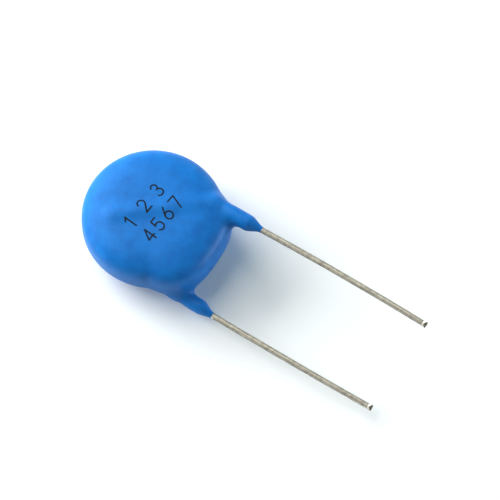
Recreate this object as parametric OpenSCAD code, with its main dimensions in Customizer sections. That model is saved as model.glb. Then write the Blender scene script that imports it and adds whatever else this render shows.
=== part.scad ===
// Single-layer ceramic disc capacitor: a silvered ceramic disc with a wire lead
// soldered across each face, all under one dipped epoxy coat.
// The disc lies flat with its front face up (+Z) and the leads run along -Y.
// The origin is at the middle of the bounding box, level with its lowest point.

/* [Ceramic disc] */
// Diameter of the ceramic disc
disc_d = 16.8; // [13:0.1:21]
// Thickness of the ceramic disc
disc_t = 3.9; // [2:0.1:6]
// Chamfer that the pressing die leaves round both edges
disc_chamfer = 0.25; // [0.05:0.05:0.6]
// How far the disc sits to the right of the middle between the leads
disc_offset = 0.65; // [0:0.05:1]

/* [Electrodes] */
// Diameter of the silver film on each face
electrode_d = 15.2; // [10:0.1:16]
// Thickness of the silver film
electrode_t = 0.05; // [0.02:0.01:0.1]

/* [Leads] */
// Diameter of the wire
wire_d = 0.8; // [0.5:0.05:1]
// Spacing between the two leads
pitch = 12.5; // [10:0.1:15]
// Bare length of the lead on the front face
front_lead_l = 26.4; // [5:0.1:40]
// Bare length of the lead on the rear face
rear_lead_l = 25.6; // [5:0.1:40]
// Angle that each lead turns through to cross the middle of the disc
lead_bend = 41; // [35:1:50]
// Radius of that bend at the wire's centre line
bend_r = 1.6; // [1:0.1:3]
// How far each lead runs past the middle of the disc
lead_past = 5.4; // [4:0.1:6]
// How far the straight bare wire reaches into the coat
grip = 0.3; // [0.2:0.05:0.6]
// Clearance in radius by which the wire from the bend ends inside the bare wire
neck = 0.03; // [0.02:0.01:0.05]

/* [Solder] */
// Length of the solder along the wire, without its rounded ends
solder_l = 7; // [4:0.1:9]
// Thickness of solder over the wire
solder_over = 0.2; // [0.1:0.05:0.3]
// Thickness of the solder film between the wire and the silver
solder_under = 0.05; // [0.02:0.01:0.1]
// Radius of the hollow edge where the solder wets the silver
solder_fillet = 0.6; // [0.3:0.05:0.8]

/* [Coating body] */
// Coat outside the rim of the ceramic
coat_rim = 1.42; // [1:0.02:2.5]
// Coat over the top of the wire at the middle of a face
coat_face = 0.93; // [0.6:0.01:1.5]
// Fullness of the rounded edge: 2 is an ellipse and more is squarer
edge_fullness = 3.2; // [2:0.1:3.6]
// Extra fullness on the side where the leads leave
lead_side_fullness = 0.6; // [0:0.1:1.5]
// How far the web between the legs stands out past the rim
web_reach = 0.7; // [0.1:0.05:0.9]

/* [Coating on the leads] */
// How far the coat runs down each lead past the rim
leg_reach = 4.08; // [3:0.02:6]
// Length over which the coat thins out to the bare wire
leg_taper = 2.2; // [1.5:0.1:2.8]
// Coat around the front lead at its thickest
front_leg_coat = 0.74; // [0.5:0.02:0.9]
// Coat around the rear lead at its thickest
rear_leg_coat = 0.64; // [0.5:0.02:0.9]
// How far the coat of the front leg hangs to the inner side of its wire
front_leg_lean = 0.1; // [0:0.02:0.4]
// How far the coat of the rear leg hangs to the inner side of its wire
rear_leg_lean = 0.22; // [0:0.02:0.4]
// Coat around the wire at the bend
bend_coat = 0.45; // [0.4:0.05:0.7]
// Coat around the wire where it crosses the face, which shows as a low ridge
ridge_coat = 0.8; // [0.6:0.05:0.9]
// Coat around the wire at the very end of a leg
end_coat = 0.05; // [0.03:0.01:0.1]
// Softness with which the legs flow into the body
leg_blend = 1.7; // [1:0.1:2.5]
// Softness with which the ridges flow into the faces
ridge_blend = 1.2; // [0.8:0.1:2.5]

/* [Hidden] */
$fn = 96;

COAT_BLUE = "#2b7fd6";
CERAMIC_TAN = "#c9b79a";
SILVER = "#c8cacb";
TINNED = "#9b968c";
SOLDER_GREY = "#b4b6b8";

// Sections of the coating skin
POINTS = 48;       // points around one section
LEG_SECTIONS = 7;  // sections along each leg
FAN_SECTIONS = 43; // sections that fan round the body
HALVINGS = 15;     // halvings in the search for the surface
// Sections of the solder
ARC = 6;           // points along each arc of its outline
ENDS = 5;          // sections round each end
END_TURN = 72;     // turn at which each end is cut off, low under the wire

// Derived sizes, measured from the middle of the ceramic disc
wire_r = wire_d / 2;
silver_z = disc_t / 2 + electrode_t;    // outer face of the silver
wire_up = wire_r + solder_under;        // wire axis, above the silver
lead_z = silver_z + wire_up;            // wire axis, above or below the mid plane
body_r = disc_d / 2 + coat_rim;         // outer radius of the coat
body_h = lead_z + wire_r + coat_face;   // half the thickness of the coat, without its ridges
web_y = body_r + web_reach;             // outer edge of the web
tip_y = body_r + leg_reach;             // where the coat ends on the leads
front_x = pitch / 2 - disc_offset;      // sideways place of each lead, as a distance
rear_x = pitch / 2 + disc_offset;
leads_end = tip_y + max(front_lead_l, rear_lead_l);

// Smooth step from 0 to 1 while value crosses span
function ease(span, value) =
    let (u = min(max((value - span[0]) / (span[1] - span[0]), 0), 1)) u * u * (3 - 2 * u);
function mix(a, b, share) = a + (b - a) * share;
// Smooth minimum: joins two surfaces with a rounded fillet
function soft_min(a, b, radius) =
    let (h = max(radius - abs(a - b), 0) / radius) min(a, b) - h * h * radius / 4;
function elbow_y(x) = x / tan(lead_bend);

// --- Coating as a signed height: below zero inside, above zero outside ---

WEB_PAST_LEG = 29;   // angle past a leg at which the web has died out
SQUARED = [25, 70];  // angles off that middle over which the extra fullness dies out
LEG_SLIM = 3;        // length over which a leg slims towards the bend
RIDGE_RISE = 0.4;    // share of a ridge's length over which it rises
ONTO_RIDGE = 0.8;    // softness where a leg meets its ridge

// Radius of the coat in plan, with the straight web between the legs.
// turn is the angle from -Y, and off_web the angle from the middle of the web.
function plan_radius(turn, off_web) =
    let (web_end = atan(pitch / 2 / web_y) + WEB_PAST_LEG)
    mix(web_y / cos(min(abs(turn), 60)), body_r, ease([0, web_end], off_web));

// Flattened body with a full rounded edge
function body_height(p) =
    let (
        across = max(norm([p[0], p[1]]), 0.001),
        turn = atan2(p[0], -p[1]),
        off_web = abs(turn + atan(disc_offset / web_y)),
        fullness = edge_fullness + lead_side_fullness * (1 - ease(SQUARED, off_web)),
        share = pow(pow(across / plan_radius(turn, off_web), fullness)
            + pow(abs(p[2]) / body_h, fullness), 1 / fullness)
    )
    norm(p) * (1 - 1 / max(share, 0.001));

// Tapered leg around one straight lead, from the tip to the bend.
// x and z place the wire, and lean is signed.
function leg_height(p, x, z, coat, lean) =
    let (
        bend_at = elbow_y(abs(x)),
        grown = ease([0, leg_taper], p[1] + tip_y),
        slimmed = ease([-LEG_SLIM, 0], p[1] + bend_at),
        radius = wire_r + mix(end_coat, coat, grown) - (coat - bend_coat) * slimmed,
        along = max(p[1] + bend_at, 0)
    )
    norm([p[0] - x - lean * grown, p[2] - z, along]) - radius;

// Low ridge over the stretch of wire that crosses the face
function ridge_height(p, x, z, lean) =
    let (
        start = [x + lean, -elbow_y(abs(x)), z],
        way = -[start[0], start[1]] / norm([start[0], start[1]]),
        reach = norm([start[0], start[1]]) + lead_past,
        along = min(max((p - start) * [way[0], way[1], 0], 0), reach),
        radius = wire_r + mix(bend_coat, ridge_coat, min(along / reach / RIDGE_RISE, 1))
    )
    norm(p - start - [way[0], way[1], 0] * along) - radius;

function lead_coat(p, x, z, coat, lean) =
    soft_min(leg_height(p, x, z, coat, lean), ridge_height(p, x, z, lean), ONTO_RIDGE);

function coat_height(p) =
    let (
        blend = mix(leg_blend, ridge_blend, ease([-web_y, -elbow_y(front_x)], p[1])),
        front = lead_coat(p, front_x, lead_z, front_leg_coat, -front_leg_lean),
        rear = lead_coat(p, -rear_x, -lead_z, rear_leg_coat, rear_leg_lean)
    )
    soft_min(soft_min(body_height(p), front, blend), rear, blend);

// Distance from an inside point to the surface, along a unit direction
function surface_at(from, way, near, far, left) =
    let (middle = (near + far) / 2)
    left == 0 ? middle
    : coat_height(from + way * middle) < 0 ? surface_at(from, way, middle, far, left - 1)
    : surface_at(from, way, near, middle, left - 1);

// --- Sections of the skin ---
// A section is [foot, heading, out, up, width]: an upright half plane that starts at
// foot and runs along heading, with its middle out along it and up above the mid plane.

PIVOT_GAP = 1.6;     // gap between the web and the upright line that the sections fan round
MOVES_IN = [20, 42]; // turns over which a section's middle goes from the leg to the body
LEVELS = [15, 52];   // turns over which it comes down to the mid plane
WIDENS = [25, 60];   // turns over which its points spread out along the body
pivot_y = -web_y - PIVOT_GAP;

function leg_sections(side) = [
    for (i = [0 : LEG_SECTIONS - 1])
        let (y = mix(-tip_y, pivot_y, i / LEG_SECTIONS))
        [[-disc_offset, y, 0], side > 0 ? 0 : 180, pitch / 2, side * lead_z, 1]
];
function fan_sections() = [
    for (i = [0 : FAN_SECTIONS - 1])
        let (
            heading = 180 * i / (FAN_SECTIONS - 1),
            side = heading > 90 ? -1 : 1,
            slope = heading > 90 ? 180 - heading : heading,
            to_leg = pitch / 2 / cos(min(slope, MOVES_IN[1])),
            to_middle = disc_offset * cos(heading) - pivot_y * sin(heading)
        )
        [
            [-disc_offset, pivot_y, 0], heading,
            mix(to_leg, to_middle, ease(MOVES_IN, slope)),
            side * lead_z * (1 - ease(LEVELS, slope)),
            mix(1, body_r / body_h, ease(WIDENS, slope))
        ]
];
function reversed(list) = [for (i = [len(list) - 1 : -1 : 0]) list[i]];
function all_sections() = concat(leg_sections(1), fan_sections(), reversed(leg_sections(-1)));

function section_points(section) =
    let (
        heading = [cos(section[1]), sin(section[1]), 0],
        middle = section[0] + heading * section[2] + [0, 0, section[3]],
        longest = body_r + leg_reach
    )
    [
        for (i = [0 : POINTS - 1])
            let (
                around = 360 * i / POINTS,
                raw = heading * section[4] * cos(around) + [0, 0, sin(around)],
                way = raw / norm(raw),
                inward = -way * heading,
                far = inward > 0 ? min(section[2] / inward, longest) : longest
            )
            middle + way * surface_at(middle, way, 0, far, HALVINGS)
    ];

// Rings of points, each with as many, joined into one closed surface
module loft(rings) {
    last = len(rings) - 1;
    size = len(rings[0]);
    polyhedron(
        points = [for (ring = rings) each ring],
        faces = concat(
            [[for (i = [size - 1 : -1 : 0]) i]],
            [[for (i = [0 : size - 1]) last * size + i]],
            [
                for (r = [0 : last - 1], i = [0 : size - 1])
                    let (a = r * size + i, b = r * size + (i + 1) % size)
                    each [[a, b, b + size], [a, b + size, a + size]]
            ]
        )
    );
}

// Outer skin of the coat
module coat_skin() loft([for (section = all_sections()) section_points(section)]);

// --- Inner pieces, each around the middle of the disc ---

module disc_shape() {
    rim = disc_d / 2;
    face = disc_t / 2;
    rotate_extrude() polygon([
        [0, -face], [rim - disc_chamfer, -face], [rim, disc_chamfer - face],
        [rim, face - disc_chamfer], [rim - disc_chamfer, face], [0, face]
    ]);
}

module electrode_shape() {
    translate([0, 0, disc_t / 2]) cylinder(d = electrode_d, h = electrode_t);
}

// Lead on the front face, x to the right of the middle, built out both ways from the
// bend: down the leg into the end of the bare wire, and across the middle of the disc
module lead_shape(x, bare_l) {
    tangent = bend_r * tan(lead_bend / 2);
    bend_y = elbow_y(x) + tangent;
    across_l = norm([x, elbow_y(x)]) + lead_past - tangent;
    necked_l = tip_y - grip / 2 - bend_y;
    translate([x - bend_r, -bend_y, lead_z]) {
        translate([bend_r, 0, 0]) rotate([90, 0, 0]) {
            cylinder(r1 = wire_r, r2 = wire_r - neck, h = necked_l);
            translate([0, 0, necked_l - grip / 2]) cylinder(r = wire_r, h = grip + bare_l);
        }
        rotate_extrude(angle = lead_bend) translate([bend_r, 0]) circle(r = wire_r);
        rotate([0, 0, lead_bend]) translate([bend_r, 0, 0])
            rotate([-90, 0, 0]) cylinder(r = wire_r, h = across_l);
    }
}

// Outline of the solder across the wire, over from one side to the other: a hollow
// edge on the silver, then a round bead
bead_r = wire_r + solder_over;
bead_slope = asin((solder_fillet - wire_up) / (bead_r + solder_fillet));
skirt = (bead_r + solder_fillet) * cos(bead_slope);
function solder_side() = concat(
    [
        for (i = [0 : ARC - 1])
            let (a = mix(270, 180 + bead_slope, i / ARC))
            [skirt, solder_fillet] + solder_fillet * [cos(a), sin(a)]
    ],
    [
        for (i = [0 : ARC])
            let (a = mix(bead_slope, 90, i / ARC)) [0, wire_up] + bead_r * [cos(a), sin(a)]
    ]
);
function solder_outline() =
    let (side = solder_side())
    concat(side, [for (i = [len(side) - 2 : -1 : 0]) [-side[i][0], side[i][1]]]);

// Section of the bead, turn degrees round its rounded end
function solder_ring(end, turn) = [
    for (p = solder_outline())
        [p[0] * cos(turn), end * (solder_l / 2 + skirt * sin(turn)), p[1] * cos(turn)]
];

// Bead of solder on the front face, along the wire that crosses the disc
module solder_bead() {
    turns = [for (i = [0 : ENDS]) END_TURN * i / ENDS];
    translate([0, 0, silver_z]) rotate([0, 0, lead_bend])
        loft(concat(
            [for (turn = reversed(turns)) solder_ring(-1, turn)],
            [for (turn = turns) solder_ring(1, turn)]
        ));
}
module solder_shape(x, bare_l) difference() {
    solder_bead();
    lead_shape(x, bare_l);
}

// Rear face: the front face's pieces turned over about the Y axis
module rear() rotate([0, 180, 0]) children();

module inner_pieces() {
    disc_shape();
    electrode_shape();
    rear() electrode_shape();
    lead_shape(front_x, front_lead_l);
    rear() lead_shape(rear_x, rear_lead_l);
    solder_bead();
    rear() solder_bead();
}

// --- Placing on the surface that the part lies on ---

// Half thickness over the ridges, which the part lies on
lying_h = surface_at([0, 0, 0], [0, 0, -1], 0, 2 * body_h, HALVINGS);
module laid() translate([0, (leads_end - body_r) / 2, lying_h]) children();

module coating() color(COAT_BLUE) laid() difference() {
    coat_skin();
    inner_pieces();
}
module ceramic_disc() color(CERAMIC_TAN) laid() disc_shape();
module front_electrode() color(SILVER) laid() electrode_shape();
module rear_electrode() color(SILVER) laid() rear() electrode_shape();
module front_lead() color(TINNED) laid() lead_shape(front_x, front_lead_l);
module rear_lead() color(TINNED) laid() rear() lead_shape(rear_x, rear_lead_l);
module front_solder() color(SOLDER_GREY) laid() solder_shape(front_x, front_lead_l);
module rear_solder() color(SOLDER_GREY) laid() rear() solder_shape(rear_x, rear_lead_l);

coating();
ceramic_disc();
front_electrode();
rear_electrode();
front_lead();
rear_lead();
front_solder();
rear_solder();
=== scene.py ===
import math
import bpy
import numpy as np
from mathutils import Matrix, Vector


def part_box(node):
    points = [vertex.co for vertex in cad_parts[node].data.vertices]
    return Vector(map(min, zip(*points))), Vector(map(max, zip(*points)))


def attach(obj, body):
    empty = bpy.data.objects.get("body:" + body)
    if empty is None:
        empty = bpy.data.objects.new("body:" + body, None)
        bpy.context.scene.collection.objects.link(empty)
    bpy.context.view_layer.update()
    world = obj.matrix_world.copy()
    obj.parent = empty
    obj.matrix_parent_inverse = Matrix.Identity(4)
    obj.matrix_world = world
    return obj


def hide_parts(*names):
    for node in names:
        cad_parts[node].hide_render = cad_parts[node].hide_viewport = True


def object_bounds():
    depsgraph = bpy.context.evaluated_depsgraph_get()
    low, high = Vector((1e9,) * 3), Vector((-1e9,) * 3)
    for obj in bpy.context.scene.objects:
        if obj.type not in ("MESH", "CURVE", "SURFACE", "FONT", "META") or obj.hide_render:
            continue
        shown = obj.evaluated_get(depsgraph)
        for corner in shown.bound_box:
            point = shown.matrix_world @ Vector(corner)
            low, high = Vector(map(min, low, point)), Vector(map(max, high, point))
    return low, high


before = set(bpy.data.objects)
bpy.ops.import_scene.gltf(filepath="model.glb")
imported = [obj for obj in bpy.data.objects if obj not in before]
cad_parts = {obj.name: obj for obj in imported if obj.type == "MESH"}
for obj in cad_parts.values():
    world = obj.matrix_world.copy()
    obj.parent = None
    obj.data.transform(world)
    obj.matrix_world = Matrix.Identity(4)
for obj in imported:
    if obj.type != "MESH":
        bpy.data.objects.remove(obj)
cad_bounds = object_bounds()
MM = 0.001


# ---------------------------------------------------------------- Ceramic disc
# The dielectric: a pressed and fired disc of titanate ceramic, tan and unglazed.
# It is wholly inside the coat. Its place is the reference for everything else.

def box_mm(node):
    """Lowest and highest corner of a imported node, in millimetres."""
    low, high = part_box(node)
    return np.array(low) / MM, np.array(high) / MM


def colour(code):
    """An sRGB hex colour as a linear colour with alpha."""
    parts = [int(code[i:i + 2], 16) / 255 for i in (1, 3, 5)]
    return [p / 12.92 if p <= 0.04045 else ((p + 0.055) / 1.055) ** 2.4 for p in parts] + [1.0]


def add(tree, kind, values=None, links=None, stops=(), **settings):
    """Adds one shader node, with its settings, socket values, incoming links and colour stops."""
    node = tree.nodes.new(kind)
    for name, value in settings.items():
        setattr(node, name, value)
    for name, value in (values or {}).items():
        node.inputs[name].default_value = value
    for name, source in (links or {}).items():
        tree.links.new(source, node.inputs[name])
    for place, code in stops[2:]:
        node.color_ramp.elements.new(place)
    for element, (place, code) in zip(node.color_ramp.elements if stops else (), stops):
        element.position = place
        element.color = colour(code)
    return node


def blank(name):
    """A new material and its empty node tree."""
    material = bpy.data.materials.new(name)
    material.use_nodes = True
    material.node_tree.nodes.clear()
    return material, material.node_tree


def finish_with(node_name, material):
    """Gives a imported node's object a material in place of its plain one."""
    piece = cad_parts[node_name]
    piece.data.materials.clear()
    piece.data.materials.append(material)
    return piece


disc_low, disc_high = box_mm("ceramic_disc")
disc_middle = (disc_low + disc_high) / 2

# Fired titanate ceramic, pressed: matt, with fine grain and slightly darker patches
fired_ceramic, tree = blank("fired titanate ceramic")
place = add(tree, "ShaderNodeTexCoord").outputs["Object"]
grain = add(tree, "ShaderNodeTexNoise", {"Scale": 1 / (0.15 * MM), "Detail": 3.0}, {"Vector": place})
patches = add(tree, "ShaderNodeTexNoise", {"Scale": 1 / (4 * MM), "Detail": 2.0}, {"Vector": place})
raised = add(tree, "ShaderNodeBump", {"Strength": 0.3, "Distance": 0.01 * MM},
             {"Height": grain.outputs["Fac"]})
shade = add(tree, "ShaderNodeValToRGB", links={"Fac": patches.outputs["Fac"]},
            stops=((0.35, "#b9a684"), (0.65, "#cdbb9c"))).outputs["Color"]
skin = add(tree, "ShaderNodeBsdfPrincipled", {"Roughness": 0.75, "IOR": 1.6},
           {"Base Color": shade, "Normal": raised.outputs["Normal"]})
add(tree, "ShaderNodeOutputMaterial", links={"Surface": skin.outputs["BSDF"]})
finish_with("ceramic_disc", fired_ceramic)


# ---------------------------------------------------------------- Electrodes
# A silver film fired onto each face of the ceramic, a little smaller than the face
# so that no spark can creep round the rim. Also wholly inside the coat.

# Fired silver paste: screen printed, so a matt metal with a faint mesh grain
fired_silver, tree = blank("fired silver film")
place = add(tree, "ShaderNodeTexCoord").outputs["Object"]
mesh_grain = add(tree, "ShaderNodeTexNoise", {"Scale": 1 / (0.1 * MM), "Detail": 2.0}, {"Vector": place})
raised = add(tree, "ShaderNodeBump", {"Strength": 0.25, "Distance": 0.005 * MM},
             {"Height": mesh_grain.outputs["Fac"]})
shade = add(tree, "ShaderNodeValToRGB", links={"Fac": mesh_grain.outputs["Fac"]},
            stops=((0.3, "#b8babb"), (0.7, "#cfd1d2"))).outputs["Color"]
skin = add(tree, "ShaderNodeBsdfPrincipled", {"Roughness": 0.45, "Metallic": 1.0},
           {"Base Color": shade, "Normal": raised.outputs["Normal"]})
add(tree, "ShaderNodeOutputMaterial", links={"Surface": skin.outputs["BSDF"]})
for film in ("front_electrode", "rear_electrode"):
    finish_with(film, fired_silver)


# ---------------------------------------------------------------- Leads
# Two drawn copper-clad steel wires, hot tinned. Each runs straight out of the coat,
# and inside it bends and crosses the middle of its face of the disc. Their free ends
# were cropped by cutters, which pinch the wire and leave a bright dent and a burr.
# A painted glint of bright metal sits on the rear lead where it leaves the coat.
# The burr and the end face are painted dark as shade.

LEAD_BEND = 41        # degrees that the wire turns at the edge of the disc
BEND_R = 1.6          # radius of that bend
BEND_RINGS = 12       # rings round it
LEAD_PAST = 5.4       # length past the middle of the disc
LEAD_BOW = {"front_lead": 0.17, "rear_lead": -0.08}   # how far each bare lead bows to the right
GLINT_L = 0.4         # length of the painted glint: bright metal on the rear lead just out of the coat
BURR_L = 0.13         # length of the rim that the cutters squeezed out
BURR_OUT = 0.05       # how far it stands out
DENT_L = 0.42         # length of the dent above it
DENT_DEPTH = 0.3
WIRE_SIDES = 48
STEP = 0.25           # spacing of the rings along the wire
END_STEP = 0.035      # and near the cropped end
END_ZONE = 0.8        # length of wire with the close rings
DENT_BARE = 0.9       # share of the dent's length that is bare metal
DENT_TOP, DENT_WIDE = 90, 75      # degrees round the wire: its middle, and to each side
GLINT_TURN, GLINT_WIDE = 172, 28  # the same for the painted glint
DULL, BRIGHT, PAINTED_SHADE = range(3)     # places in a lead's list of materials; the last one paints shade at the cut end

coat_low, coat_high = box_mm("coating")


def mesh_piece(name, points, faces, materials, smooth=True):
    """A mesh object from points in millimetres."""
    mesh = bpy.data.meshes.new(name)
    mesh.from_pydata((np.asarray(points) * MM).tolist(), [], faces)
    for material in materials:
        mesh.materials.append(material)
    mesh.polygons.foreach_set("use_smooth", [smooth] * len(mesh.polygons))
    mesh.update()
    piece = bpy.data.objects.new(name, mesh)
    bpy.context.scene.collection.objects.link(piece)
    return piece


def tube_faces(count, size):
    """Faces of a closed skin over rings that follow each other, with a last point at each end."""
    first, last, start = count * size, count * size + 1, (count - 1) * size
    sides = [(r * size + i, (r + 1) * size + i, (r + 1) * size + (i + 1) % size, r * size + (i + 1) % size)
             for r in range(count - 1) for i in range(size)]
    caps = [(first, i, (i + 1) % size) for i in range(size)]
    return sides + caps + [(last, start + (i + 1) % size, start + i) for i in range(size)]


def wire_path(node):
    """Points along a lead's middle from its free end inwards, with its radius and side."""
    low, high = box_mm(node)
    radius = (high[2] - low[2]) / 2
    side = 1 if node == "front_lead" else -1
    x = high[0] - radius if side > 0 else low[0] + radius
    z = (low[2] + high[2]) / 2
    across = abs(x - disc_middle[0])
    elbow = disc_middle[1] - across / math.tan(math.radians(LEAD_BEND))
    tangent = BEND_R * math.tan(math.radians(LEAD_BEND / 2))
    bare = coat_low[1] - low[1]
    path = []
    close = low[1] + np.arange(0, END_ZONE, END_STEP)
    wider = np.arange(low[1] + END_ZONE, elbow - tangent, STEP)
    for y in np.concatenate([close, wider]):
        along = min(max((y - low[1]) / bare, 0), 1)
        path.append((x + LEAD_BOW[node] * 4 * along * (1 - along), y, z))
    for turn in np.linspace(0, LEAD_BEND, BEND_RINGS):
        t = math.radians(turn)
        path.append((x - side * BEND_R * (1 - math.cos(t)), elbow - tangent + BEND_R * math.sin(t), z))
    last = np.array(path[-1])
    heading = np.array((-side * math.sin(math.radians(LEAD_BEND)), math.cos(math.radians(LEAD_BEND)), 0))
    reach = math.hypot(across, elbow - disc_middle[1]) - tangent + LEAD_PAST
    path += [tuple(last + heading * d) for d in np.arange(STEP, reach, STEP)]
    return np.array(path), radius, side


# Hot-tinned drawn wire, a few years old: dull warm grey metal with fine lines along it
tinned_wire, tree = blank("dulled tinned wire")
place = add(tree, "ShaderNodeTexCoord").outputs["Object"]
drawn = add(tree, "ShaderNodeMapping", {"Scale": (1.0, 0.04, 1.0)}, {"Vector": place})
lines = add(tree, "ShaderNodeTexNoise", {"Scale": 1 / (0.12 * MM), "Detail": 3.0},
            {"Vector": drawn.outputs["Vector"]})
mottle = add(tree, "ShaderNodeTexNoise", {"Scale": 1 / (0.5 * MM), "Detail": 3.0}, {"Vector": place})
mixed = add(tree, "ShaderNodeMath",
            links={0: lines.outputs["Fac"], 1: mottle.outputs["Fac"]}, operation="ADD")
halved = add(tree, "ShaderNodeMath", {1: 0.5}, {0: mixed.outputs["Value"]}, operation="MULTIPLY")
shade = add(tree, "ShaderNodeValToRGB", links={"Fac": halved.outputs["Value"]},
            stops=((0.36, "#79766b"), (0.66, "#b3af9f"))).outputs["Color"]
raised = add(tree, "ShaderNodeBump", {"Strength": 0.35, "Distance": 0.01 * MM},
             {"Height": halved.outputs["Value"]})
skin = add(tree, "ShaderNodeBsdfPrincipled", {"Roughness": 0.3, "Metallic": 1.0},
           {"Base Color": shade, "Normal": raised.outputs["Normal"]})
add(tree, "ShaderNodeOutputMaterial", links={"Surface": skin.outputs["BSDF"]})

# Fresh shear: bright pale metal with scratches across the cut. The same material paints the glint on the
# rear lead
cut_metal_and_glint, tree = blank("bright sheared metal and painted glint")
place = add(tree, "ShaderNodeTexCoord").outputs["Object"]
scratches = add(tree, "ShaderNodeTexNoise", {"Scale": 1 / (0.08 * MM), "Detail": 2.0}, {"Vector": place})
shade = add(tree, "ShaderNodeValToRGB", links={"Fac": scratches.outputs["Fac"]},
            stops=((0.3, "#d9d3bf"), (0.7, "#f6f1e2"))).outputs["Color"]
skin = add(tree, "ShaderNodeBsdfPrincipled", {"Roughness": 0.3, "Metallic": 1.0}, {"Base Color": shade})
add(tree, "ShaderNodeOutputMaterial", links={"Surface": skin.outputs["BSDF"]})

# Painted shade: dark metal on the burr and the end face of each cropped lead, where shade falls
painted_shade_metal, tree = blank("painted shade at cut end")
place = add(tree, "ShaderNodeTexCoord").outputs["Object"]
smears = add(tree, "ShaderNodeTexNoise", {"Scale": 1 / (0.1 * MM), "Detail": 2.0}, {"Vector": place})
shade = add(tree, "ShaderNodeValToRGB", links={"Fac": smears.outputs["Fac"]},
            stops=((0.3, "#3b3833"), (0.7, "#5b574e"))).outputs["Color"]
skin = add(tree, "ShaderNodeBsdfPrincipled", {"Roughness": 0.5, "Metallic": 1.0}, {"Base Color": shade})
add(tree, "ShaderNodeOutputMaterial", links={"Surface": skin.outputs["BSDF"]})

for node in ("front_lead", "rear_lead"):
    path, wire_r, side = wire_path(node)
    ahead = np.gradient(path, axis=0)
    ahead /= np.linalg.norm(ahead, axis=1)[:, None]
    right = np.cross(ahead, (0, 0, 1))
    around = np.linspace(0, 2 * math.pi, WIRE_SIDES, endpoint=False)
    from_end = (path[:, 1] - path[0, 1])[:, None]
    burr = BURR_OUT * np.clip(1 - np.abs(from_end / BURR_L - 0.5) * 2, 0, 1) ** 0.5
    out = (wire_r + burr) * np.cos(around)
    up = (wire_r + burr) * np.sin(around)
    dent = DENT_DEPTH * np.clip(1 - (from_end - BURR_L) / DENT_L, 0, 1)
    up = np.where(from_end > BURR_L, np.minimum(up, wire_r - dent), up)
    rings = path[:, None, :] + right[:, None, :] * out[..., None] + np.array((0, 0, 1)) * up[..., None]
    points = np.concatenate([rings.reshape(-1, 3), path[:1], path[-1:]])
    faces = tube_faces(len(path), WIRE_SIDES)
    lead = mesh_piece(node + "_wire", points, faces, [tinned_wire, cut_metal_and_glint, painted_shade_metal])
    kinds = np.zeros(len(faces), int)
    middle = (from_end[:-1] + from_end[1:]) / 2
    turned = np.degrees(around + math.pi / WIRE_SIDES)
    # The burr's rim near the end is painted dark as shade
    rim = middle <= BURR_L
    in_dent = (middle > BURR_L) & (middle < BURR_L + DENT_L * DENT_BARE)
    flat = in_dent & (np.abs(turned - DENT_TOP) < DENT_WIDE)
    sides = len(middle) * WIRE_SIDES
    to_coat = coat_low[1] - path[0, 1] - middle
    # Painted glint: a small patch of the bright metal on the rear lead where it leaves the coat
    painted_glint = (side < 0) & (to_coat > -STEP) & (to_coat < GLINT_L) & (np.abs(turned - GLINT_TURN) < GLINT_WIDE)
    kinds[:sides] = np.where(flat | painted_glint, BRIGHT, np.where(rim, PAINTED_SHADE, DULL)).reshape(-1)
    # The end face is painted dark as shade too
    kinds[sides:sides + WIRE_SIDES] = PAINTED_SHADE
    lead.data.polygons.foreach_set("material_index", kinds)
    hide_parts(node)
    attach(lead, "root")


# ---------------------------------------------------------------- Solder
# A long bead of soft solder holds each wire to its silver film. Inside the coat.

# Soft solder: smooth, slightly frosted where it set slowly
soft_solder, tree = blank("soft solder")
place = add(tree, "ShaderNodeTexCoord").outputs["Object"]
frost = add(tree, "ShaderNodeTexNoise", {"Scale": 1 / (0.4 * MM), "Detail": 3.0}, {"Vector": place})
shade = add(tree, "ShaderNodeValToRGB", links={"Fac": frost.outputs["Fac"]},
            stops=((0.35, "#a7a9ab"), (0.65, "#c3c5c7"))).outputs["Color"]
raised = add(tree, "ShaderNodeBump", {"Strength": 0.2, "Distance": 0.01 * MM},
             {"Height": frost.outputs["Fac"]})
skin = add(tree, "ShaderNodeBsdfPrincipled", {"Roughness": 0.35, "Metallic": 1.0},
           {"Base Color": shade, "Normal": raised.outputs["Normal"]})
add(tree, "ShaderNodeOutputMaterial", links={"Surface": skin.outputs["BSDF"]})
for bead in ("front_solder", "rear_solder"):
    finish_with(bead, soft_solder)


# ---------------------------------------------------------------- Epoxy coat
# The whole disc was dipped in blue epoxy, drained with its leads up and cured. The
# coat draws a straight web between the leads, tapers to nothing on each wire, and
# shows the wire under each face as a low ridge.

EDGE_FULLNESS = 3.2         # 2 is an ellipse, more is squarer
LEAD_SIDE_FULLNESS = 0.6    # added on the side of the leads
WEB_REACH = 0.7             # web past the rim
BODY_H = 3.78               # half thickness without the ridges
END_COAT = 0.05             # epoxy on the wire at the very tip of a leg
LEG_COAT = {1: 0.74, -1: 0.64}   # on the leg. By side: 1 is the front lead, -1 the rear one
LEG_TAPER = 2.2             # length from the tip over which it grows to that
LEG_LEAN = {1: 0.1, -1: 0.22}    # how far a leg leans inwards off its wire
BEND_COAT = 0.45            # epoxy over the bend of the wire
LEG_SLIM = 3.0              # length before the bend over which it thins to that
RIDGE_COAT = 0.8            # epoxy over the wire on the face
RIDGE_RISE = 0.4            # share of the ridge over which it grows to that
LEG_SOFTNESS = 1.7          # of the joint between the legs and the body
RIDGE_SOFTNESS = 1.2        # of the joint between the ridges and the faces
ONTO_RIDGE = 0.8            # and between a leg and its ridge
WEB_PAST_LEG = 29           # degrees past a leg at which the web has run out into the round rim
WEB_WIDEST = 60             # degrees to each side at which its straight line is cut off
SQUARED = (25, 70)          # degrees off the web over which the added fullness fades
PIVOT_GAP = 1.6             # from the web out to the line that the rings fan out from
MOVES_IN = (20, 42)         # degrees over which a ring's middle moves from the leg to the disc
LEVELS = (15, 52)           # and comes level with the middle of the thickness
WIDENS = (25, 60)           # and its points spread over the whole face
LEG_RINGS = 36
BODY_RINGS = 240
RING_POINTS = 160
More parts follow.
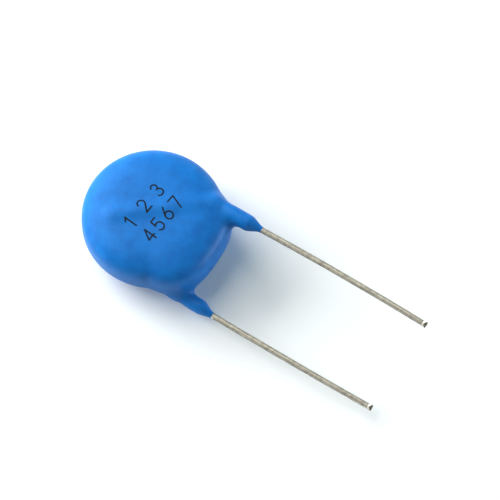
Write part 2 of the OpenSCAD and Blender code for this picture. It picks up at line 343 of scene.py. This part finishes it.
RAY_PAST = 4                # how far past the coat's radius its surface is looked for
HALVINGS = 26               # of a ray, down to less than a millionth of a millimetre
RELAX_TURNS = 40            # turns that spread the points
SETTLE_TURNS = 4            # the last of them, which only bring them back onto the surface
RELAX_SHARE = 0.6           # of the way to the middle of its neighbours, for each turn
NUDGE = 0.01                # step by which the slope is measured
LEAST_STEEP = 0.1           # least square of that slope, so that no point jumps

coat_r = coat_high[1] - disc_middle[1]
tip_y = disc_middle[1] - coat_low[1]
web_y = coat_r + WEB_REACH
lead_place = {}             # by side: a lead's place across, and its height over the disc's middle
for node in ("front_lead", "rear_lead"):
    _, wire_r, side = wire_path(node)     # both wires are equally thick
    lead_place[side] = (box_mm(node)[1][0] - wire_r if side > 0 else box_mm(node)[0][0] + wire_r,
                        (box_mm(node)[0][2] + box_mm(node)[1][2]) / 2 - disc_middle[2])
half_pitch = (lead_place[1][0] - lead_place[-1][0]) / 2
off_middle = (lead_place[1][0] + lead_place[-1][0]) / 2
lead_up = lead_place[1][1]


def ease(low, high, value):
    """Smooth step from 0 to 1."""
    u = np.clip((value - low) / (high - low), 0, 1)
    return u * u * (3 - 2 * u)


def soft_min(a, b, radius):
    """Joins two surfaces with a rounded fillet."""
    h = np.maximum(radius - np.abs(a - b), 0) / radius
    return np.minimum(a, b) - h * h * radius / 4


def body_height(x, y, z):
    """Flattened body, with the web between the legs: below zero inside."""
    across = np.hypot(x, y) + 1e-9
    turn = np.degrees(np.arctan2(x, -y))
    off_web = np.abs(turn - math.degrees(math.atan2(off_middle, web_y)))
    web_end = math.degrees(math.atan(half_pitch / web_y)) + WEB_PAST_LEG
    share = ease(0, web_end, off_web)
    plan_r = web_y / np.cos(np.radians(np.minimum(np.abs(turn), WEB_WIDEST))) * (1 - share) + coat_r * share
    fullness = EDGE_FULLNESS + LEAD_SIDE_FULLNESS * (1 - ease(*SQUARED, off_web))
    ratio = ((across / plan_r) ** fullness + (np.abs(z) / BODY_H) ** fullness) ** (1 / fullness)
    return np.sqrt(across ** 2 + z ** 2) * (1 - 1 / np.maximum(ratio, 1e-6))


def leg_height(x, y, z, side):
    """One tapered leg and the ridge that carries on from it across the face."""
    lead_x, _ = lead_place[side]
    level = side * lead_up
    bend_at = abs(lead_x) / math.tan(math.radians(LEAD_BEND))
    grown = ease(0, LEG_TAPER, y + tip_y)
    slimmed = ease(-LEG_SLIM, 0, y + bend_at)
    coat = LEG_COAT[side]
    radius = wire_r + END_COAT + (coat - END_COAT) * grown - (coat - BEND_COAT) * slimmed
    lean = -side * LEG_LEAN[side]
    along = np.maximum(y + bend_at, 0)
    leg = np.sqrt((x - lead_x - lean * grown) ** 2 + (z - level) ** 2 + along ** 2) - radius
    start_x, start_y = lead_x + lean, -bend_at
    to_middle = math.hypot(start_x, start_y)
    length = to_middle + LEAD_PAST
    way_x, way_y = -start_x / to_middle, -start_y / to_middle
    along = np.clip((x - start_x) * way_x + (y - start_y) * way_y, 0, length)
    radius = wire_r + BEND_COAT + (RIDGE_COAT - BEND_COAT) * np.minimum(along / length / RIDGE_RISE, 1)
    off_x, off_y = x - start_x - way_x * along, y - start_y - way_y * along
    ridge = np.sqrt(off_x ** 2 + off_y ** 2 + (z - level) ** 2) - radius
    return soft_min(leg, ridge, ONTO_RIDGE)


def coat_height(p):
    """Height above the coat's surface at points measured from the disc's middle."""
    x, y, z = p[..., 0], p[..., 1], p[..., 2]
    onto_face = ease(-web_y, -lead_place[1][0] / math.tan(math.radians(LEAD_BEND)), y)
    softness = LEG_SOFTNESS + (RIDGE_SOFTNESS - LEG_SOFTNESS) * onto_face
    height = soft_min(body_height(x, y, z), leg_height(x, y, z, 1), softness)
    return soft_min(height, leg_height(x, y, z, -1), softness)


def surface_at(start, way, far):
    """Where rays from inside points meet the surface."""
    near, far = np.zeros(start.shape[:-1]), np.broadcast_to(far, start.shape[:-1]).copy()
    for _ in range(HALVINGS):
        half = (near + far) / 2
        inside = coat_height(start + way * half[..., None]) < 0
        near, far = np.where(inside, half, near), np.where(inside, far, half)
    return start + way * near[..., None]


def relaxed(rings):
    """The same surface with its points spread evenly where the legs leave the body."""
    for turn in range(RELAX_TURNS):
        if turn < RELAX_TURNS - SETTLE_TURNS:
            beside = (np.roll(rings, 1, axis=1) + np.roll(rings, -1, axis=1))[1:-1] + rings[2:] + rings[:-2]
            rings[1:-1] += RELAX_SHARE * (beside / 4 - rings[1:-1])
        slope = np.stack([(coat_height(rings + step) - coat_height(rings - step)) / (2 * NUDGE)
                          for step in np.eye(3) * NUDGE], axis=-1)
        steep = np.maximum((slope ** 2).sum(axis=-1), LEAST_STEEP)
        rings[1:-1] -= (slope * (coat_height(rings) / steep)[..., None])[1:-1]
    return rings


def coat_rings():
    """Closed rings of points from the front leg's tip, round the body, to the rear leg's tip."""
    pivot_y = -web_y - PIVOT_GAP
    far_out = coat_r + RAY_PAST
    legs = np.linspace(-tip_y, pivot_y, LEG_RINGS, endpoint=False)
    stations = [((off_middle, y), 0.0, half_pitch, lead_up, 1.0) for y in legs]
    for heading in np.linspace(0, 180, BODY_RINGS):
        slope = min(heading, 180 - heading)
        side = -1 if heading > 90 else 1
        to_leg = half_pitch / math.cos(math.radians(min(slope, MOVES_IN[1])))
        to_middle = -off_middle * math.cos(math.radians(heading)) - pivot_y * math.sin(math.radians(heading))
        moved, level, wide = ease(*MOVES_IN, slope), 1 - ease(*LEVELS, slope), ease(*WIDENS, slope)
        stations.append(((off_middle, pivot_y), heading, to_leg + (to_middle - to_leg) * moved,
                         side * lead_up * level, 1 + (coat_r / BODY_H - 1) * wide))
    stations += [((off_middle, y), 180.0, half_pitch, -lead_up, 1.0) for y in legs[::-1]]
    around = np.linspace(0, 2 * math.pi, RING_POINTS, endpoint=False)
    starts, ways, fars = [], [], []
    for (foot_x, foot_y), heading, out, up, width in stations:
        head = np.array((math.cos(math.radians(heading)), math.sin(math.radians(heading)), 0))
        middle = np.array((foot_x, foot_y, 0)) + head * out + np.array((0, 0, up))
        way = head * (width * np.cos(around))[:, None] + np.array((0, 0, 1)) * np.sin(around)[:, None]
        way /= np.linalg.norm(way, axis=1)[:, None]
        inward = -way @ head
        to_line = out / np.maximum(inward, 1e-6)
        fars.append(np.where(inward > 1e-6, np.minimum(to_line, far_out), far_out))
        starts.append(np.broadcast_to(middle, way.shape))
        ways.append(way)
    return surface_at(np.array(starts), np.array(ways), np.array(fars))


# Cured dip epoxy: satin blue plastic with faint clouds in the pigment and a fine
# orange-peel skin
blue_epoxy, tree = blank("blue dip epoxy")
place = add(tree, "ShaderNodeTexCoord").outputs["Object"]
clouds = add(tree, "ShaderNodeTexNoise", {"Scale": 1 / (2.2 * MM), "Detail": 4.0, "Roughness": 0.6},
             {"Vector": place})
peel = add(tree, "ShaderNodeTexNoise", {"Scale": 1 / (0.35 * MM), "Detail": 2.0}, {"Vector": place})
shade = add(tree, "ShaderNodeValToRGB", links={"Fac": clouds.outputs["Fac"]},
            stops=((0.32, "#0a64b2"), (0.68, "#1074c6"))).outputs["Color"]
raised = add(tree, "ShaderNodeBump", {"Strength": 0.35, "Distance": 0.03 * MM},
             {"Height": peel.outputs["Fac"]})
skin = add(tree, "ShaderNodeBsdfPrincipled", {"Roughness": 0.42, "IOR": 1.32},
           {"Base Color": shade, "Normal": raised.outputs["Normal"]})
add(tree, "ShaderNodeOutputMaterial", links={"Surface": skin.outputs["BSDF"]})

rings = relaxed(coat_rings())
ends = np.array([rings[0].mean(axis=0), rings[-1].mean(axis=0)])
points = np.concatenate([rings.reshape(-1, 3), ends]) + disc_middle
coat = mesh_piece("epoxy_coat", points, tube_faces(len(rings), RING_POINTS), [blue_epoxy])
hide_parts("coating")
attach(coat, "root")


# ---------------------------------------------------------------- Ink marking
# Two lines of plain counting digits, printed on the front of the coat by a pen plotter
# or laser: single strokes of one width with round ends, lying flat on the epoxy.

STROKE = 0.22          # width of a stroke
DIGIT_W = 1.15         # width and height of a digit, between the middles of its strokes
DIGIT_H = 1.95
MARK_TURN = -4.7       # degrees that the lines are turned from +X
INK_UP = 0.012         # height of the ink film over the coat, with as much soaked in
INK_GRID = 0.04        # spacing of the points that the film is made of
ARC_POINTS = 14        # along a curved stroke
CUT_MARGIN = 0.1       # share of a cell's side kept clear at its corners, so that no face is a sliver
INK_RAY = 6.0          # from the disc's middle up to well over the coat
# Digits, foot of the first from the disc's middle, and spacing
LINES = (("123", (-4.15, 0.6), 3.01), ("4567", (-4.4, -2.62), 2.0))


def arc(x, y, across, high, start, stop):
    """Points along part of an ellipse, in shares of a digit's width and height."""
    turns = np.radians(np.linspace(start, stop, ARC_POINTS))
    return [(x + across * math.cos(t), y + high * math.sin(t)) for t in turns]


DIGITS = {
    "1": [[(0.2, 0.76), (0.6, 1.0), (0.6, 0.0)]],
    "2": [arc(0.5, 0.71, 0.47, 0.29, 170, -35) + [(0.02, 0.0), (1.0, 0.0)]],
    "3": [arc(0.48, 0.76, 0.4, 0.24, 150, -85) + arc(0.46, 0.27, 0.48, 0.27, 85, -155)],
    "4": [[(0.74, 0.0), (0.74, 1.0), (0.0, 0.28), (1.0, 0.28)]],
    "5": [[(0.9, 1.0), (0.2, 1.0), (0.12, 0.54)] + arc(0.46, 0.32, 0.5, 0.32, 125, -150)],
    "6": [[(0.75, 1.0), (0.2, 0.55)] + arc(0.5, 0.3, 0.47, 0.3, 160, 520)],
    "7": [[(0.0, 1.0), (1.0, 1.0), (0.38, 0.0)]],
}


def stroke_distance(flat, strokes):
    """Distance of flat points from the edge of the nearest stroke: below zero on the ink."""
    nearest = np.full(flat.shape[:-1], DIGIT_H)
    for stroke in strokes:
        for start, stop in zip(stroke, stroke[1:]):
            run = stop - start
            share = np.clip((flat - start) @ run / (run @ run), 0, 1)
            nearest = np.minimum(nearest, np.linalg.norm(flat - start - share[..., None] * run, axis=-1))
    return nearest - STROKE / 2


def inked_cells(grid, depth, base):
    """Flat points and faces that fill a grid where the depth is below zero, cut along the edge."""
    points, faces, index = [], [], {}

    def point_at(key, place):
        if key not in index:
            index[key] = base + len(points)
            points.append(place)
        return index[key]

    for i in range(grid.shape[0] - 1):
        for j in range(grid.shape[1] - 1):
            corners = [(i, j), (i + 1, j), (i + 1, j + 1), (i, j + 1)]
            face = []
            for a, b in zip(corners, corners[1:] + corners[:1]):
                if depth[a] < 0:
                    face.append(point_at((a, a), grid[a]))
                if (depth[a] < 0) != (depth[b] < 0):
                    c, d = min(a, b), max(a, b)
                    share = np.clip(depth[c] / (depth[c] - depth[d]), CUT_MARGIN, 1 - CUT_MARGIN)
                    face.append(point_at((c, d), grid[c] + share * (grid[d] - grid[c])))
            if face:
                faces.append(tuple(face))
    return points, faces


def closed_film(top, faces, thick):
    """A thin closed film: the top faces, the same faces under them, and the rim between."""
    count = len(top)
    edges = [(a, b) for face in faces for a, b in zip(face, face[1:] + face[:1])]
    inner = set(edges)
    rim = [(b, a, a + count, b + count) for a, b in edges if (b, a) not in inner]
    under = [tuple(i + count for i in reversed(face)) for face in faces]
    return np.concatenate([top, top - (0, 0, thick)]), faces + under + rim


# Marking ink: dense black that dries nearly matt, a little thinner in places
black_ink, tree = blank("black marking ink")
place = add(tree, "ShaderNodeTexCoord").outputs["Object"]
density = add(tree, "ShaderNodeTexNoise", {"Scale": 1 / (0.25 * MM), "Detail": 2.0}, {"Vector": place})
shade = add(tree, "ShaderNodeValToRGB", links={"Fac": density.outputs["Fac"]},
            stops=((0.35, "#030e10"), (0.7, "#0a1f26"))).outputs["Color"]
skin = add(tree, "ShaderNodeBsdfPrincipled", {"Roughness": 0.7, "IOR": 1.3}, {"Base Color": shade})
add(tree, "ShaderNodeOutputMaterial", links={"Surface": skin.outputs["BSDF"]})

turn = math.radians(MARK_TURN)
baseline = np.array((math.cos(turn), math.sin(turn)))
upright = np.array((-math.sin(turn), math.cos(turn)))
across = np.arange(-STROKE, DIGIT_W + STROKE, INK_GRID)
along = np.arange(-STROKE, DIGIT_H + STROKE, INK_GRID)
grid = np.stack(np.meshgrid(across, along, indexing="ij"), axis=-1)
flat, faces = [], []
for digits, foot, spacing in LINES:
    for k, digit in enumerate(digits):
        strokes = [np.array(stroke) * (DIGIT_W, DIGIT_H) for stroke in DIGITS[digit]]
        cells, cell_faces = inked_cells(grid, stroke_distance(grid, strokes), len(flat))
        flat += [foot + baseline * (spacing * k + x) + upright * y for x, y in cells]
        faces += cell_faces
flat = np.array(flat)
start = np.concatenate([flat, np.zeros((len(flat), 1))], axis=1)
top = surface_at(start, np.broadcast_to((0.0, 0.0, 1.0), start.shape), INK_RAY) + (0, 0, INK_UP)
points, faces = closed_film(top, faces, 2 * INK_UP)
ink = mesh_piece("ink_marking", points + disc_middle, faces, [black_ink], smooth=False)
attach(ink, "root")


# ---------------------------------------------------------------- Studio
# A white table top in a white room, seen through a long lens. Two large soft windows
# light the part from the side away from its leads, and a weak cool lamp fills in.

CARD_GLOW = 0.04       # a trace of cool glow, only where the table top is seen or mirrored
FADE = (60, 150)       # distances from the middle over which the table top turns plain white
ROOM_LIGHT = 0.09      # even light from all round
TABLE_HALF = 1.5       # metres, as are the lamps' sizes and distances and the camera's below


def seen_or_mirrored(tree):
    """1 where the eye sees the background, straight or in metal or glass, 0 where it lights the part."""
    path_kind = add(tree, "ShaderNodeLightPath").outputs
    mirrored = add(tree, "ShaderNodeMath", operation="MAXIMUM",
                   links={0: path_kind["Is Glossy Ray"], 1: path_kind["Is Transmission Ray"]})
    shown = add(tree, "ShaderNodeMath", operation="MAXIMUM",
                links={0: path_kind["Is Camera Ray"], 1: mirrored.outputs["Value"]})
    return shown.outputs["Value"]


# Matt white card: near white with a trace of cool glow, darker where the part shades it
white_card, tree = blank("matt white card")
card = add(tree, "ShaderNodeBsdfDiffuse", {"Color": colour("#fcfdfd")})
glow = add(tree, "ShaderNodeEmission", {"Color": colour("#c4ecf2"), "Strength": CARD_GLOW})
both = add(tree, "ShaderNodeAddShader", links={0: card.outputs["BSDF"], 1: glow.outputs["Emission"]})
place = add(tree, "ShaderNodeTexCoord").outputs["Object"]
reach = add(tree, "ShaderNodeVectorMath", links={0: place}, operation="LENGTH").outputs["Value"]
far = add(tree, "ShaderNodeMapRange", {"From Min": FADE[0] * MM, "From Max": FADE[1] * MM}, {"Value": reach},
          interpolation_type="SMOOTHSTEP")
white = add(tree, "ShaderNodeEmission", {"Color": colour("#ffffff"), "Strength": 1.0})
faded = add(tree, "ShaderNodeMixShader",
            links={"Fac": far.outputs["Result"], 1: both.outputs["Shader"], 2: white.outputs["Emission"]})
seen = add(tree, "ShaderNodeMixShader",
           links={"Fac": seen_or_mirrored(tree), 1: card.outputs["BSDF"], 2: faded.outputs["Shader"]})
add(tree, "ShaderNodeOutputMaterial", links={"Surface": seen.outputs["Shader"]})
low, high = np.array(cad_bounds[0]), np.array(cad_bounds[1])
centre = (low + high) / 2
corners = [(TABLE_HALF * x, TABLE_HALF * y, low[2]) for x, y in ((-1, -1), (1, -1), (1, 1), (-1, 1))]
floor = mesh_piece("table_top", np.array(corners) / MM, [(0, 1, 2, 3)], [white_card], smooth=False)

# White room: faint even light on the part, and plain white where it is seen or mirrored
scene = bpy.context.scene
scene.view_settings.view_transform = "Standard"
world = bpy.data.worlds.new("white room")
scene.world = world
world.use_nodes = True
tree = world.node_tree
tree.nodes.clear()
room = add(tree, "ShaderNodeBackground", {"Color": colour("#e4fbf4"), "Strength": ROOM_LIGHT})
backdrop = add(tree, "ShaderNodeBackground", {"Color": colour("#ffffff"), "Strength": 1.0})
seen = add(tree, "ShaderNodeMixShader",
           links={"Fac": seen_or_mirrored(tree), 1: room.outputs["Background"],
                  2: backdrop.outputs["Background"]})
add(tree, "ShaderNodeOutputWorld", links={"Surface": seen.outputs["Shader"]})


def soft_box(name, azimuth, elevation, distance, wide, high, power, tint):
    """A flat lamp aimed at the part. Azimuth 0 stands on the -Y side, 90 on +X."""
    a, e = math.radians(azimuth), math.radians(elevation)
    away = np.array((math.sin(a) * math.cos(e), -math.cos(a) * math.cos(e), math.sin(e)))
    lamp = bpy.data.lights.new(name, "AREA")
    lamp.shape = "RECTANGLE"
    lamp.size, lamp.size_y = wide, high
    lamp.energy = power
    lamp.color = colour(tint)[:3]
    holder = bpy.data.objects.new(name, lamp)
    holder.location = centre + away * distance
    holder.rotation_euler = (math.pi / 2 - e, 0, a)
    scene.collection.objects.link(holder)
    return holder


low_window = soft_box("low window", azimuth=182, elevation=17, distance=1.0,
                      wide=1.25, high=0.56, power=24.5, tint="#ffffff")
low_window.visible_glossy = False     # or its reflection turns the face white when seen from low down
soft_box("high window", azimuth=172, elevation=50, distance=1.0,
         wide=1.1, high=0.9, power=7.4, tint="#ffffff")
soft_box("cool fill", azimuth=32, elevation=14, distance=1.0,
         wide=0.5, high=0.4, power=6.4, tint="#e0f4ff")

lens = bpy.data.cameras.new("long lens")
camera = bpy.data.objects.new("camera", lens)
VIEW_AZIMUTH, VIEW_ELEVATION = math.radians(-57.5), math.radians(65.5)
DISTANCE = 2.5
FIELD = 0.06803        # width that the view takes in at that distance
SENSOR = 36            # millimetres
FAR_CLIP = 10
AIM = centre + np.array((3.84, 2.13, -1.74)) * MM
back = np.array((math.sin(VIEW_AZIMUTH) * math.cos(VIEW_ELEVATION),
                 -math.cos(VIEW_AZIMUTH) * math.cos(VIEW_ELEVATION),
                 math.sin(VIEW_ELEVATION)))
camera.location = AIM + back * DISTANCE
camera.rotation_euler = (math.pi / 2 - VIEW_ELEVATION, 0, VIEW_AZIMUTH)
lens.sensor_width = SENSOR
lens.lens = SENSOR * DISTANCE / FIELD
lens.clip_end = FAR_CLIP
scene.collection.objects.link(camera)
scene.camera = camera
